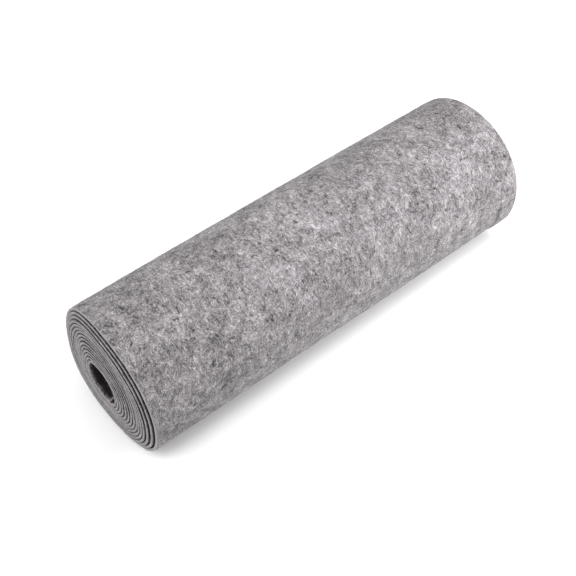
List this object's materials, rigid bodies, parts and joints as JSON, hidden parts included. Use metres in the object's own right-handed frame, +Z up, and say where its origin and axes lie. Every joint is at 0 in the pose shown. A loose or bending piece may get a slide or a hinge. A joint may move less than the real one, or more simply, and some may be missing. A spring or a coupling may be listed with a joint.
{
  "type": "roll of felt",
  "caption": "Roll of thick heathered grey felt lying on its side, a long strip wound on itself around an open core, its inner turns slid out at one end.",
  "frame": {"origin": "centre of the bounding box on the surface that the roll lies on", "axes": "+Z up, +X along the roll's axis towards the end where the inner turns sit back"},
  "size_m": [0.3078, 0.097, 0.0945],
  "materials": {
    "felt": "matte heathered grey needle felt, light and dark fibres mixed, soft fuzz along the cut edges"
  },
  "bodies": {
    "root": {"felt_roll": "felt"}
  },
  "joints": []
}
